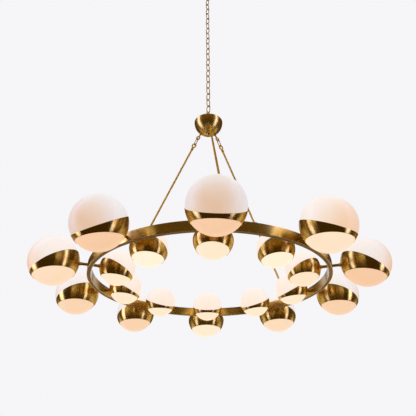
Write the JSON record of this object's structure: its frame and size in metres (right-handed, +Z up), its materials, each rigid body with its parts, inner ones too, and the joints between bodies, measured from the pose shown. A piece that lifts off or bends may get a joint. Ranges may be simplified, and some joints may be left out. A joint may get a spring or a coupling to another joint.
{
  "type": "chandelier",
  "caption": "Chain-hung ring chandelier: brushed brass hoop on three rods from a domed hub, with radial arms carrying opal globes in tilted cups inside and outside the hoop.",
  "frame": {"origin": "centre of the ceiling bracket in the plane of the ceiling, midway between its two screw holes", "axes": "+Z up towards the ceiling; the first arm points along -Y; the bracket's screw holes lie along X"},
  "size_m": [1.474, 1.54, 2.1931],
  "materials": {
    "brass": "brushed, lightly aged",
    "brass_spun": "spun, fine turned lines",
    "brass_dull": "matte, oxidised",
    "steel": "zinc plated",
    "opal_glass": "satin opal",
    "bulb_glass": "frosted",
    "holder_ceramic": "matte",
    "terminal_plastic": "moulded",
    "bush_rubber": "matte",
    "lead_sleeve": "braided"
  },
  "bodies": {
    "ceiling_fitting": {"ceiling_bracket": "steel", "ceiling_nipple": "steel", "nipple_nut": "steel", "canopy": "brass_spun", "canopy_collar": "brass", "canopy_loop": "brass"},
    "link_01": {"chain_link_01": "brass"},
    "link_02": {"chain_link_02": "brass"},
    "link_03": {"chain_link_03": "brass"},
    "link_04": {"chain_link_04": "brass"},
    "link_05": {"chain_link_05": "brass"},
    "link_06": {"chain_link_06": "brass"},
    "link_07": {"chain_link_07": "brass"},
    "link_08": {"chain_link_08": "brass"},
    "link_09": {"chain_link_09": "brass"},
    "link_10": {"chain_link_10": "brass"},
    "link_11": {"chain_link_11": "brass"},
    "link_12": {"chain_link_12": "brass"},
    "link_13": {"chain_link_13": "brass"},
    "link_14": {"chain_link_14": "brass"},
    "link_15": {"chain_link_15": "brass"},
    "link_16": {"chain_link_16": "brass"},
    "link_17": {"chain_link_17": "brass"},
    "link_18": {"chain_link_18": "brass"},
    "link_19": {"chain_link_19": "brass"},
    "link_20": {"chain_link_20": "brass"},
    "link_21": {"chain_link_21": "brass"},
    "link_22": {"chain_link_22": "brass"},
    "link_23": {"chain_link_23": "brass"},
    "chandelier": {"hub_loop": "brass", "hub_lid": "brass", "hub_bowl": "brass_spun", "hub_stem": "steel", "hub_finial": "brass", "terminal_block": "terminal_plastic", "cable_bushes": "bush_rubber", "hub_eyes": "brass", "eye_nuts": "steel", "eye_links": "brass", "suspension_rod_front": "brass", "suspension_rod_right": "brass", "suspension_rod_left": "brass", "ring_lugs": "brass", "lug_pins": "brass", "lug_nuts": "steel", "ring_channel": "brass", "ring_cover": "brass_dull", "cover_screws": "brass", "ring_harness": "lead_sleeve", "arm_blocks": "brass", "arm_tubes": "brass", "outer_cups": "brass_spun", "inner_cups": "brass_spun", "outer_globes": "opal_glass", "inner_globes": "opal_glass", "cup_ferrules": "brass", "lamp_holders": "holder_ceramic", "bulbs": "bulb_glass"}
  },
  "joints": [
    {"name": "link_01_swing", "type": "hinge", "parent": "ceiling_fitting", "child": "link_01", "pos_m": [0, 0, -0.11288], "axis": [-0.7071, 0.7071, 0], "range_deg": [-25, 25]},
    {"name": "link_02_swing", "type": "hinge", "parent": "link_01", "child": "link_02", "pos_m": [0, 0, -0.15828], "axis": [0.7071, 0.7071, 0], "range_deg": [-25, 25]},
    {"name": "link_03_swing", "type": "hinge", "parent": "link_02", "child": "link_03", "pos_m": [0, 0, -0.20428], "axis": [-0.7071, 0.7071, 0], "range_deg": [-3, 3]},
    {"name": "link_04_swing", "type": "hinge", "parent": "link_03", "child": "link_04", "pos_m": [0, 0, -0.25028], "axis": [0.7071, 0.7071, 0], "range_deg": [-3, 3]},
    {"name": "link_05_swing", "type": "hinge", "parent": "link_04", "child": "link_05", "pos_m": [0, 0, -0.29628], "axis": [-0.7071, 0.7071, 0], "range_deg": [-3, 3]},
    {"name": "link_06_swing", "type": "hinge", "parent": "link_05", "child": "link_06", "pos_m": [0, 0, -0.34228], "axis": [0.7071, 0.7071, 0], "range_deg": [-3, 3]},
    {"name": "link_07_swing", "type": "hinge", "parent": "link_06", "child": "link_07", "pos_m": [0, 0, -0.38828], "axis": [-0.7071, 0.7071, 0], "range_deg": [-3, 3]},
    {"name": "link_08_swing", "type": "hinge", "parent": "link_07", "child": "link_08", "pos_m": [0, 0, -0.43428], "axis": [0.7071, 0.7071, 0], "range_deg": [-3, 3]},
    {"name": "link_09_swing", "type": "hinge", "parent": "link_08", "child": "link_09", "pos_m": [0, 0, -0.48028], "axis": [-0.7071, 0.7071, 0], "range_deg": [-3, 3]},
    {"name": "link_10_swing", "type": "hinge", "parent": "link_09", "child": "link_10", "pos_m": [0, 0, -0.52628], "axis": [0.7071, 0.7071, 0], "range_deg": [-3, 3]},
    {"name": "link_11_swing", "type": "hinge", "parent": "link_10", "child": "link_11", "pos_m": [0, 0, -0.57228], "axis": [-0.7071, 0.7071, 0], "range_deg": [-3, 3]},
    {"name": "link_12_swing", "type": "hinge", "parent": "link_11", "child": "link_12", "pos_m": [0, 0, -0.61828], "axis": [0.7071, 0.7071, 0], "range_deg": [-3, 3]},
    {"name": "link_13_swing", "type": "hinge", "parent": "link_12", "child": "link_13", "pos_m": [0, 0, -0.66428], "axis": [-0.7071, 0.7071, 0], "range_deg": [-3, 3]},
    {"name": "link_14_swing", "type": "hinge", "parent": "link_13", "child": "link_14", "pos_m": [0, 0, -0.71028], "axis": [0.7071, 0.7071, 0], "range_deg": [-3, 3]},
    {"name": "link_15_swing", "type": "hinge", "parent": "link_14", "child": "link_15", "pos_m": [0, 0, -0.75628], "axis": [-0.7071, 0.7071, 0], "range_deg": [-3, 3]},
    {"name": "link_16_swing", "type": "hinge", "parent": "link_15", "child": "link_16", "pos_m": [0, 0, -0.80228], "axis": [0.7071, 0.7071, 0], "range_deg": [-3, 3]},
    {"name": "link_17_swing", "type": "hinge", "parent": "link_16", "child": "link_17", "pos_m": [0, 0, -0.84828], "axis": [-0.7071, 0.7071, 0], "range_deg": [-3, 3]},
    {"name": "link_18_swing", "type": "hinge", "parent": "link_17", "child": "link_18", "pos_m": [0, 0, -0.89428], "axis": [0.7071, 0.7071, 0], "range_deg": [-3, 3]},
    {"name": "link_19_swing", "type": "hinge", "parent": "link_18", "child": "link_19", "pos_m": [0, 0, -0.94028], "axis": [-0.7071, 0.7071, 0], "range_deg": [-3, 3]},
    {"name": "link_20_swing", "type": "hinge", "parent": "link_19", "child": "link_20", "pos_m": [0, 0, -0.98628], "axis": [0.7071, 0.7071, 0], "range_deg": [-3, 3]},
    {"name": "link_21_swing", "type": "hinge", "parent": "link_20", "child": "link_21", "pos_m": [0, 0, -1.03228], "axis": [-0.7071, 0.7071, 0], "range_deg": [-3, 3]},
    {"name": "link_22_swing", "type": "hinge", "parent": "link_21", "child": "link_22", "pos_m": [0, 0, -1.07828], "axis": [0.7071, 0.7071, 0], "range_deg": [-3, 3]},
    {"name": "link_23_swing", "type": "hinge", "parent": "link_22", "child": "link_23", "pos_m": [0, 0, -1.12428], "axis": [-0.7071, 0.7071, 0], "range_deg": [-3, 3]},
    {"name": "chandelier_swing", "type": "hinge", "parent": "link_23", "child": "chandelier", "pos_m": [0, 0, -1.17028], "axis": [0.7071, 0.7071, 0], "range_deg": [-3, 3]}
  ]
}
